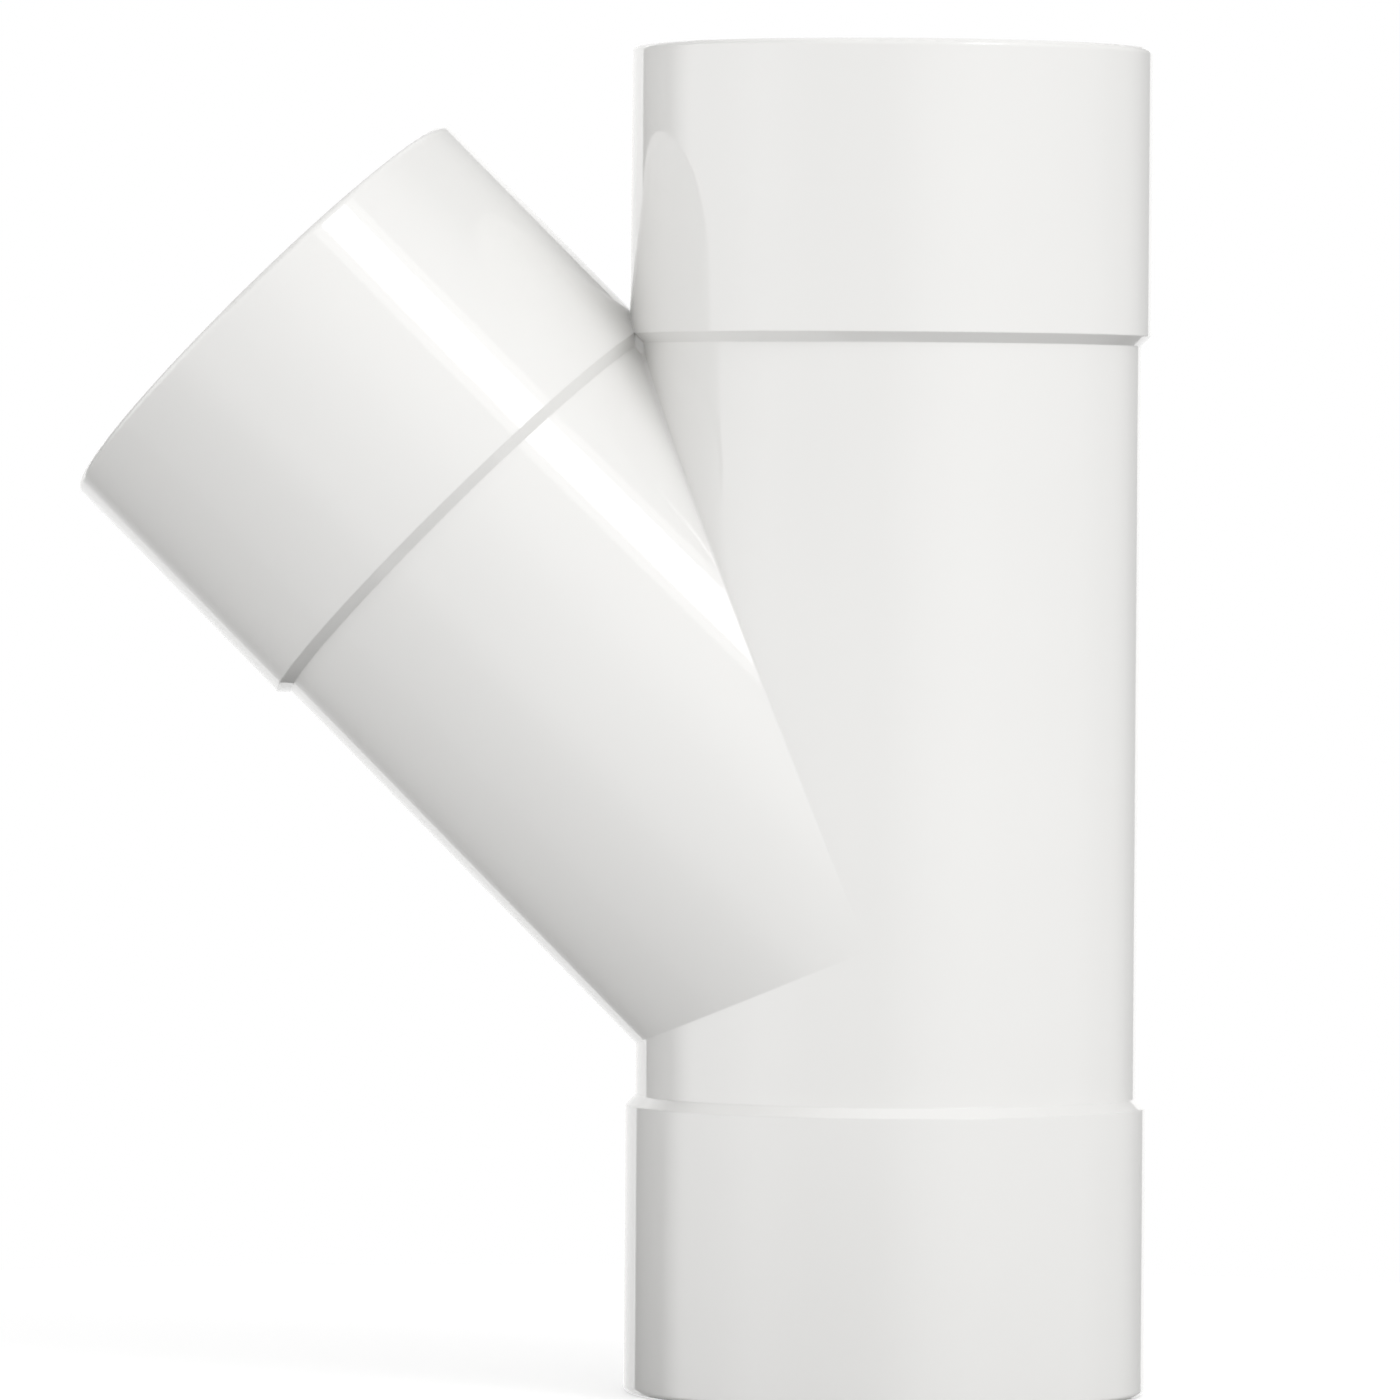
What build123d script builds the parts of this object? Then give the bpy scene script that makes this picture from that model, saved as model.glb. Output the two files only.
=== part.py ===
from build123d import *
from math import radians, sin, cos, tan, sqrt
import os

# Lateral wye fitting: an equal 45 degree branch, moulded in one piece in white PVC,
# for plain rainwater pipe. Three plain sockets take three pipe ends.
#
# The run stands on +Z, with the centre of its lower mouth at the origin. The branch
# leaves the run upwards and towards -X, and both axes lie in the XZ plane.

# Driving dimensions, in millimetres and degrees
pipe_d = 80.0            # outside diameter of the pipe
socket_clearance = 0.15  # radial gap between a pipe and its socket
socket_depth = 45.0      # how far a pipe goes in before it meets its stop
stop_width = 1.6         # ledge that the pipe's end meets, about as wide as the pipe's wall
stop_cover = 1.0         # along the axis, from that ledge to the lip of the shoulder outside
wall = 1.7               # moulded wall, in the sockets and in the body
branch_angle = 45.0      # between the run's upper arm and the branch
lower_straight = 8.0     # plain body between the foot of the branch and the lower shoulder
web_set_back = 0.3       # from the points where two lips cross to the flat sides of the web
mouth_round = 1.0        # outer edge of a mouth
mouth_lead_in = 0.4      # chamfer on the inner edge of a mouth, which guides the pipe in
valley_round = 0.3       # the two long valleys outside, where the bodies meet

# Radii that follow from them
socket_bore_r = pipe_d / 2 + socket_clearance
socket_r = socket_bore_r + wall
bore_r = socket_bore_r - stop_width
body_r = bore_r + wall

# The shoulder outside slopes at 45 degrees, so it is as long as it is high
shoulder = socket_r - body_r
socket_length = socket_depth + stop_cover

# Outside, the two body tubes meet at the crotch above their crossing and at the foot
# below it. The lips of the upper and the branch shoulder meet each other at the crotch.
half_angle = radians(branch_angle / 2)
crotch = body_r / tan(half_angle)
foot = body_r * tan(half_angle)
upper_arm = crotch + socket_length
lower_arm = foot + lower_straight + shoulder + socket_length

# Each arm has a plane of its own: its origin is the crossing of the axes, its Y runs out
# along the arm to the mouth, and its X is the radius. A revolved face has its seam on that
# radius, so each X points to where no valley crosses it.
crossing = Vector(0, 0, lower_arm)
front = (0, -1, 0)
back = (0, 1, 0)
turn = radians(branch_angle)
lower_plane = Plane(crossing, x_dir=(1, 0, 0), z_dir=back)
upper_plane = Plane(crossing, x_dir=(1, 0, 0), z_dir=front)
branch_plane = Plane(crossing, x_dir=(cos(turn), 0, sin(turn)), z_dir=front)
arms = [(lower_plane, lower_arm), (upper_plane, upper_arm), (branch_plane, upper_arm)]

with BuildPart() as wye_fitting:
    # Outside of the three arms: body tube, sloping shoulder, socket and rounded mouth
    for plane, length in arms:
        with BuildSketch(plane) as outside:
            with BuildLine():
                Polyline(
                    (0, 0),
                    (body_r, 0),
                    (body_r, length - socket_length - shoulder),
                    (socket_r, length - socket_length),
                    (socket_r, length),
                    (0, length),
                    close=True,
                )
            make_face()
            fillet(outside.vertices().group_by(Axis.X)[-1].sort_by(Axis.Y)[-1], mouth_round)
        revolve(axis=Axis(plane.origin, plane.y_dir))

    # Web in the crotch: below both lips, the notch between the two shoulders is filled
    # as far to each side as the sockets touch
    web_half = sqrt(socket_r**2 - body_r**2) - web_set_back
    with BuildSketch(upper_plane) as web:
        with BuildLine():
            Polyline(
                (0, 0),
                (0, crotch),
                (-body_r, crotch),
                (-crotch * sin(turn), crotch * cos(turn)),
                close=True,
            )
        make_face()
    extrude(amount=web_half, both=True)

    # The two long valleys, front and back, where the branch's body leaves the run's. Of the
    # ellipses outside, only the two above the web, where the sockets meet, lie higher.
    long_valleys = wye_fitting.edges().filter_by(GeomType.ELLIPSE).sort_by(Axis.Z)[-4:-2]
    fillet(long_valleys, valley_round)

    # Inside of the arms: the waterway, the ledge that stops the pipe, and the socket's bore
    for plane, length in arms:
        with BuildSketch(plane) as inside:
            with BuildLine():
                Polyline(
                    (0, 0),
                    (bore_r, 0),
                    (bore_r, length - socket_depth),
                    (socket_bore_r, length - socket_depth),
                    (socket_bore_r, length - mouth_lead_in),
                    (socket_bore_r + mouth_lead_in, length),
                    (0, length),
                    close=True,
                )
            make_face()
        revolve(axis=Axis(plane.origin, plane.y_dir), mode=Mode.SUBTRACT)

wye_fitting.part.label = "wye_fitting"

os.makedirs("parts", exist_ok=True)
export_step(wye_fitting.part, "parts/wye_fitting.step")
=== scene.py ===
# %% [markdown]
# # A lateral wye fitting in white PVC
#
# The fitting joins a slanting branch pipe to a straight run of rainwater pipe. Its shape
# comes from the frame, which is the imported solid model, so this lesson only gives it its
# finish and sets it up in a small studio: table, surroundings, light and camera.

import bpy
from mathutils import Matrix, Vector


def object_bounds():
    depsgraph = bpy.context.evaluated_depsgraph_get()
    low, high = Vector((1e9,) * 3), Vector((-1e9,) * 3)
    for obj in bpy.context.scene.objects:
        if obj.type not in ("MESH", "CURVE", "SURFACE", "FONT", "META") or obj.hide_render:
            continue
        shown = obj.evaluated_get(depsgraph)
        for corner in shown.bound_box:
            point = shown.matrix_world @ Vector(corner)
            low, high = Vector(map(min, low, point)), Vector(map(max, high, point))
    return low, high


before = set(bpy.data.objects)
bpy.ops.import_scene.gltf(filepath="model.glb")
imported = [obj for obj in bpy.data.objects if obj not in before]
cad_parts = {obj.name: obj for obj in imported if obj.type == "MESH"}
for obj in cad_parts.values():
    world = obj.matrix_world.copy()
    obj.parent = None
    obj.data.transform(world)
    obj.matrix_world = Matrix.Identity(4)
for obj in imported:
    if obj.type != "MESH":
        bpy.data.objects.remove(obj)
solid_box = [list(corner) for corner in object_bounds()]

from math import cos, pi, radians, sin

import bpy
from mathutils import Matrix, Vector

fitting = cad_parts["wye_fitting"]
low, high = (Vector(corner) for corner in solid_box)
middle = (low + high) / 2
print("fitting, mm:", [round(1000 * size, 1) for size in high - low])

# %% [markdown]
# ## Helpers for nodes
#
# A material is a small network. Every network below needs the same three acts: add a
# node, set its values, and join sockets. One helper does them together, so that each
# finish can be read from top to bottom.

# %% Helpers that add nodes
def add_node(tree, kind, settings=None, **inputs):
    """Adds a node. Its inputs are named, with _ for a space, or numbered, as in i0, and
    take a value or a socket."""
    node = tree.nodes.new(kind)
    for name, value in (settings or {}).items():
        setattr(node, name, value)
    for name, value in inputs.items():
        by_number = name[0] == "i" and name[1:].isdigit()
        socket = node.inputs[int(name[1:]) if by_number else name.replace("_", " ")]
        if isinstance(value, bpy.types.NodeSocket):
            tree.links.new(value, socket)
        else:
            socket.default_value = value
    return node


def calculate(tree, operation, first, second):
    """Works out one sum with two values."""
    return add_node(tree, "ShaderNodeMath", {"operation": operation}, i0=first, i1=second).outputs[0]


def empty_tree(owner):
    """Turns on an owner's nodes and clears them."""
    owner.use_nodes = True
    owner.node_tree.nodes.clear()
    return owner.node_tree


# %% [markdown]
# ## Noise with a true size
#
# A pipe fitting is moulded from white PVC against polished steel. The real surface is
# glossy but not a mirror, and no part of it is quite like the next. These differences
# could be image textures, but a fitting needs no unwrapping if its finish is made from
# noise in its own space. That space is measured in metres, so each effect has its true
# size.

# %% Noise
def noise(tree, place, per_metre, detail, roughness=0.5):
    """Soft noise that has about so many patches in a metre."""
    return add_node(
        tree, "ShaderNodeTexNoise", Vector=place, Scale=per_metre, Detail=detail, Roughness=roughness,
    ).outputs["Fac"]


# %% [markdown]
# ## Colour and polish
#
# The colour is a very slightly warm white. Pigment never mixes quite evenly, so it has
# clouds, too faint to see by themselves. The polish of the steel mould differs a little
# from place to place too, and with it the gloss.

# %% Colour and polish
clouds_per_metre, darkest_cloud, lightest_cloud = 34.0, 0.985, 1.01
polish_per_metre, glossiest, dullest = 55.0, 0.03, 0.06


def cloudy(tree, place, colour):
    """The colour with faint clouds in it."""
    darker = [darkest_cloud * value for value in colour] + [1.0]
    lighter = [min(1.0, lightest_cloud * value) for value in colour] + [1.0]
    clouds = noise(tree, place, clouds_per_metre, detail=3.0)
    return add_node(
        tree, "ShaderNodeMix", {"data_type": "RGBA"}, i0=clouds, i6=darker, i7=lighter,
    ).outputs[2]


def polished(tree, place):
    """The roughness of polished plastic, which differs from place to place."""
    polish = noise(tree, place, polish_per_metre, detail=4.0, roughness=0.6)
    return add_node(
        tree, "ShaderNodeMapRange", Value=polish, To_Min=glossiest, To_Max=dullest,
    ).outputs["Result"]


# %% [markdown]
# ## Edges, ripple and grain
#
# The lips of a moulding are never sharp, so the Bevel node softens them in the shading.
# Where the plastic shrinks as it cools, it draws into a faint long ripple, which makes
# straight reflections waver. A very fine grain lies on top. Both are far too shallow for
# the mesh, so bumps make them, one on top of the other.

# %% Surface direction
edge_radius, ripple_depth, grain_depth = 0.00035, 0.00006, 0.000008
ripples_per_metre, grains_per_metre = 90.0, 1400.0


def rippled(tree, place):
    """The direction that the surface faces, with soft edges, ripple and grain."""
    edges = add_node(tree, "ShaderNodeBevel", {"samples": 6}, Radius=edge_radius)
    ripple = add_node(
        tree, "ShaderNodeBump", Strength=0.35, Distance=ripple_depth,
        Height=noise(tree, place, ripples_per_metre, detail=1.0), Normal=edges.outputs["Normal"],
    )
    grain = add_node(
        tree, "ShaderNodeBump", Strength=0.25, Distance=grain_depth,
        Height=noise(tree, place, grains_per_metre, detail=2.0), Normal=ripple.outputs["Normal"],
    )
    return grain.outputs["Normal"]


# %% [markdown]
# ## The finish: moulded PVC
#
# PVC bends light about as much as window glass does, which sets how strongly it mirrors.
# It has no lacquer and no metal in it, so one Principled surface is enough.

# %% PVC
pvc_white, pvc_ior = (0.84, 0.835, 0.82), 1.53


def moulded_pvc(name, colour):
    """A material of moulded PVC."""
    material = bpy.data.materials.new(name)
    tree = empty_tree(material)
    place = add_node(tree, "ShaderNodeTexCoord").outputs["Object"]
    surface = add_node(
        tree, "ShaderNodeBsdfPrincipled", Base_Color=cloudy(tree, place, colour),
        Roughness=polished(tree, place), IOR=pvc_ior, Normal=rippled(tree, place),
    )
    add_node(tree, "ShaderNodeOutputMaterial", Surface=surface.outputs["BSDF"])
    return material


white_pvc = moulded_pvc("white_pvc_moulded", pvc_white)
for slot in fitting.material_slots:
    slot.material = white_pvc
print("finished slots:", len(fitting.material_slots))

# %% [markdown]
# ## Table
#
# The fitting stands on its lower mouth, on a round table. A plain disc is enough, a hair
# below the mouth so that the two faces don't fight.

# %% Table
table_radius, table_corners, table_gap = 0.30, 128, 0.0002
table_turns = [2 * pi * corner / table_corners for corner in range(table_corners)]
table_mesh = bpy.data.meshes.new("white_table")
table_mesh.from_pydata(
    [(table_radius * cos(turn), table_radius * sin(turn), 0) for turn in table_turns],
    [],
    [list(range(table_corners))],
)
table = bpy.data.objects.new("white_table", table_mesh)
table.location = (middle.x, middle.y, low.z - table_gap)
bpy.context.collection.objects.link(table)
print("table, mm across:", round(2000 * table_radius))

# %% [markdown]
# ## Table paint
#
# The light grey paint takes the fitting's shadow and throws some light back up. To the
# camera the table has some white of its own as well, which makes it as white as the
# background and leaves only the soft shadow on it. Mirrored in the glossy tubes it would
# be a grey band round their feet, so reflections pass it by and show the room there too.

# %% Table paint
table_grey, table_own_white = (0.55, 0.55, 0.55, 1.0), 0.6
plain_white = (1.0, 1.0, 1.0, 1.0)
table.visible_glossy = False

table_paint = bpy.data.materials.new("table_paint")
paint_tree = empty_tree(table_paint)
lit = add_node(paint_tree, "ShaderNodeBsdfDiffuse", Color=table_grey)
ray = add_node(paint_tree, "ShaderNodeLightPath")
share = calculate(paint_tree, "MULTIPLY", ray.outputs["Is Camera Ray"], table_own_white)
own = add_node(paint_tree, "ShaderNodeEmission", Color=plain_white, Strength=share)
both = add_node(paint_tree, "ShaderNodeAddShader", i0=lit.outputs["BSDF"], i1=own.outputs["Emission"])
add_node(paint_tree, "ShaderNodeOutputMaterial", Surface=both.outputs["Shader"])
table_mesh.materials.append(table_paint)
print("table paint nodes:", len(paint_tree.nodes))

# %% [markdown]
# ## Surroundings
#
# Glossy plastic shows what stands round it, so a tube looks like a tube because of the
# walls that it mirrors. Real walls could stand there, but they would be in the way when
# the fitting is looked at from its other sides. Painted on the world they light it and
# never hide it.
#
# A place on the world is known by the direction looked in. Its bearing is the turn from
# the front (-Y) towards +X.

# %% Directions in the world
world = bpy.data.worlds.new("studio")
bpy.context.scene.world = world
room_tree = empty_tree(world)
direction = add_node(room_tree, "ShaderNodeTexCoord").outputs["Generated"]
across, away, upwards = add_node(room_tree, "ShaderNodeSeparateXYZ", Vector=direction).outputs
bearing = calculate(room_tree, "ARCTAN2", across, calculate(room_tree, "MULTIPLY", away, -1.0))
print("world nodes for directions:", len(room_tree.nodes))

# %% [markdown]
# ## Walls
#
# A dark gap on the left of the back wall draws the grey line beside a tube's bright rim,
# and a white wall goes on from there. The wall in front is nearly dark, because glows
# and lamps are added on that side later. On the right the wall is greyer, and the gap
# between it and the back is only dim, so that side has softer lines.
#
# One colour ramp, laid round the whole circle, holds them all. A ramp holds no more than
# 1, so it holds shares of the brightest wall.

# %% Walls
def walls_round(tree, bearing, walls):
    """The level for each bearing. A wall is (from bearing, to bearing, level), and between
    two walls the level changes evenly."""
    brightest = max(level for start, end, level in walls)
    share = add_node(tree, "ShaderNodeMapRange", Value=bearing, From_Min=-pi, From_Max=pi)
    ramp = add_node(tree, "ShaderNodeValToRGB", Fac=share.outputs["Result"])
    stops = ramp.color_ramp.elements
    stops.remove(stops[-1])
    corners = [(corner, level) for start, end, level in walls for corner in (start, end)]
    for number, (corner, level) in enumerate(corners):
        place = (corner + 180) / 360
        stop = stops[0] if number == 0 else stops.new(place)
        stop.position = place
        stop.color = [level / brightest] * 3 + [1.0]
    return calculate(tree, "MULTIPLY", ramp.outputs["Color"], brightest)


back_wall, left_gap, left_wall, front_wall, right_wall, right_gap = 2.0, 0.0, 2.0, 0.1, 0.8, 0.4
walls = [
    (-180, -142, back_wall), (-139, -112, left_gap), (-96, -55, left_wall), (0, 60, front_wall),
    (100, 130, right_wall), (150, 170, right_gap), (178, 180, back_wall),
]
room = walls_round(room_tree, bearing, walls)
print("stretches of wall:", len(walls))

# %% [markdown]
# ## Ceiling and ground
#
# Shoulders, and the two sides of the slanting branch, mirror what is above and below the
# walls. The ceiling is dark in front and grey at the back, and the ground is grey in
# front and dark at the back. Both run softly into the walls.

# %% Ceiling and ground
def fade(tree, value, start, end, first=0.0, last=1.0):
    """Goes softly from first to last while the value goes from start to end."""
    return add_node(
        tree, "ShaderNodeMapRange", {"interpolation_type": "SMOOTHSTEP"},
        Value=value, From_Min=start, From_Max=end, To_Min=first, To_Max=last,
    ).outputs["Result"]


def blend(tree, share, first, last):
    """Mixes two levels."""
    return add_node(tree, "ShaderNodeMix", i0=share, i2=first, i3=last).outputs[0]


ceiling_front, ceiling_back, ceiling_start, ceiling_end = 0.0, 0.5, 0.2, 0.8
ground_front, ground_back, ground_start, ground_end = 0.25, 0.0, -0.17, -0.11
wall_top, ceiling_edge, wall_foot, ground_edge = (radians(height) for height in (12, 37, -12, -28))

ceiling = fade(room_tree, away, ceiling_start, ceiling_end, ceiling_front, ceiling_back)
room = blend(room_tree, fade(room_tree, upwards, sin(wall_top), sin(ceiling_edge)), room, ceiling)
ground = fade(room_tree, away, ground_start, ground_end, ground_front, ground_back)
room = blend(room_tree, fade(room_tree, upwards, sin(wall_foot), sin(ground_edge)), room, ground)
print("levels of ceiling and ground, front and back:", ceiling_front, ceiling_back, ground_front, ground_back)

# %% [markdown]
# ## Glows
#
# A room is brighter near its windows. A wide glow high in front lights the faces that
# are seen, a fainter one stands level on the right, and one stands high at the back.

# %% Glows
def direction_of(bearing, height):
    """A unit vector. Bearing is in degrees from the front (-Y) towards +X, and height in
    degrees above the level."""
    turn, rise = radians(bearing), radians(height)
    return Vector((sin(turn) * cos(rise), -cos(turn) * cos(rise), sin(rise)))


def nearness(tree, direction, centre):
    """The cosine of the angle between the direction looked in and a centre."""
    return add_node(
        tree, "ShaderNodeVectorMath", {"operation": "DOT_PRODUCT"}, i0=direction, i1=centre,
    ).outputs["Value"]


# each has a centre, a half width in degrees and a level
glows = [
    (direction_of(30, 35), 70.0, 1.0),
    (direction_of(60, 0), 60.0, 0.4),
    (direction_of(180, 70), 40.0, 1.0),
]
for centre, half_width, level in glows:
    glow = fade(room_tree, nearness(room_tree, direction, centre), cos(radians(half_width)), 1.0, 0.0, level)
    room = calculate(room_tree, "ADD", room, glow)
print("glows:", len(glows))

# %% [markdown]
# ## Backdrop
#
# Behind the fitting hangs a round white backdrop, less bright than the wall round it. At
# a tube's outline it is mirrored as a narrow white rim. Its edge is nearly sharp, so the
# rim ends in a clear line.

# %% Backdrop
backdrop, backdrop_level = direction_of(-169.5, 0), 1.2
backdrop_half_width, backdrop_soft = 28.0, 0.4
before_backdrop = fade(
    room_tree, nearness(room_tree, direction, backdrop),
    cos(radians(backdrop_half_width + backdrop_soft)), cos(radians(backdrop_half_width - backdrop_soft)),
)
room = blend(room_tree, before_backdrop, room, backdrop_level)
print("backdrop, degrees wide:", 2 * backdrop_half_width)

# %% [markdown]
# ## What is felt and what is seen
#
# The painted room lights the fitting and shows in its gloss, but the camera itself sees
# plain white. Light Path tells the two apart.

# %% Felt and seen
ray = add_node(room_tree, "ShaderNodeLightPath")
seen = add_node(room_tree, "ShaderNodeBackground", Color=plain_white, Strength=1.0)
felt = add_node(room_tree, "ShaderNodeBackground", Color=plain_white, Strength=room)
mixed = add_node(
    room_tree, "ShaderNodeMixShader",
    i0=ray.outputs["Is Camera Ray"], i1=felt.outputs["Background"], i2=seen.outputs["Background"],
)
add_node(room_tree, "ShaderNodeOutputWorld", Surface=mixed.outputs["Shader"])
print("world nodes in all:", len(room_tree.nodes))

# %% [markdown]
# ## Light
#
# A glossy tube draws its surroundings as stripes along itself. One large softbox above
# and to the right of the camera makes the broad bright stripe along the branch. The cloth
# of a softbox is brightest in its middle, so the stripe has soft sides. Two lamps make
# it: a bright one, and a larger and dimmer one just behind it.

# %% Softbox
def facing(place, side, towards):
    """Stands something at a place, with its X along side and its back along towards."""
    turned = Matrix((side, towards.cross(side), towards)).transposed()
    return Matrix.Translation(place) @ turned.to_4x4()


def softbox(name, towards, distance, along, size, watts):
    """A rectangular lamp that faces the fitting, with its first side along a direction."""
    lamp = bpy.data.lights.new(name, "AREA")
    lamp.shape = "RECTANGLE"
    lamp.size, lamp.size_y = size
    lamp.energy = watts
    side = (along - along.dot(towards) * towards).normalized()
    holder = bpy.data.objects.new(name, lamp)
    holder.matrix_world = facing(middle + distance * towards, side, towards)
    holder.visible_camera = False
    bpy.context.collection.objects.link(holder)
    print(name, "stands, m from the fitting:", distance)


branch_line = Vector((-1, 0, 1)).normalized()
key_direction = direction_of(46.5, 34)
key_distance, key_size, key_watts = 1.5, (0.60, 0.40), 2.9
rim_distance, rim_size, rim_watts = 1.54, (0.70, 0.68), 1.8
softbox("key_softbox", key_direction, key_distance, branch_line, key_size, key_watts)
softbox("key_softbox_rim", key_direction, rim_distance, branch_line, rim_size, rim_watts)

# %% [markdown]
# ## Camera
#
# A long lens from far away, almost level with the middle of the fitting and a little to
# the right of its front, shows both axes at nearly their true angle.

# %% Camera
film_mm, lens_mm = 36.0, 295.6
camera_distance, camera_nearest, camera_farthest = 1.8456, 0.05, 200.0
camera_bearing, camera_height, camera_roll = 4.951, 0.978, radians(0.384)
aim = Vector((-0.03031, 0.0, 0.11075))

lens = bpy.data.cameras.new("camera")
lens.sensor_width, lens.lens = film_mm, lens_mm
lens.clip_start, lens.clip_end = camera_nearest, camera_farthest
camera = bpy.data.objects.new("camera", lens)
towards_camera = direction_of(camera_bearing, camera_height)
level_side = Vector((0, 0, 1)).cross(towards_camera).normalized()
rolled_side = cos(camera_roll) * level_side + sin(camera_roll) * towards_camera.cross(level_side)
camera.matrix_world = facing(aim + camera_distance * towards_camera, rolled_side, towards_camera)
bpy.context.collection.objects.link(camera)
bpy.context.scene.camera = camera
bpy.context.scene.view_settings.view_transform = "Standard"
print("camera at, mm:", [round(1000 * place, 1) for place in camera.location])

# %% [markdown]
# ## Sizes and hand-over
#
# The finish may not change the fitting's size, so the box of the solid and the box of
# what is shown are written side by side. Then the frame checks the scene.

# %% Finish
print("scene set up")
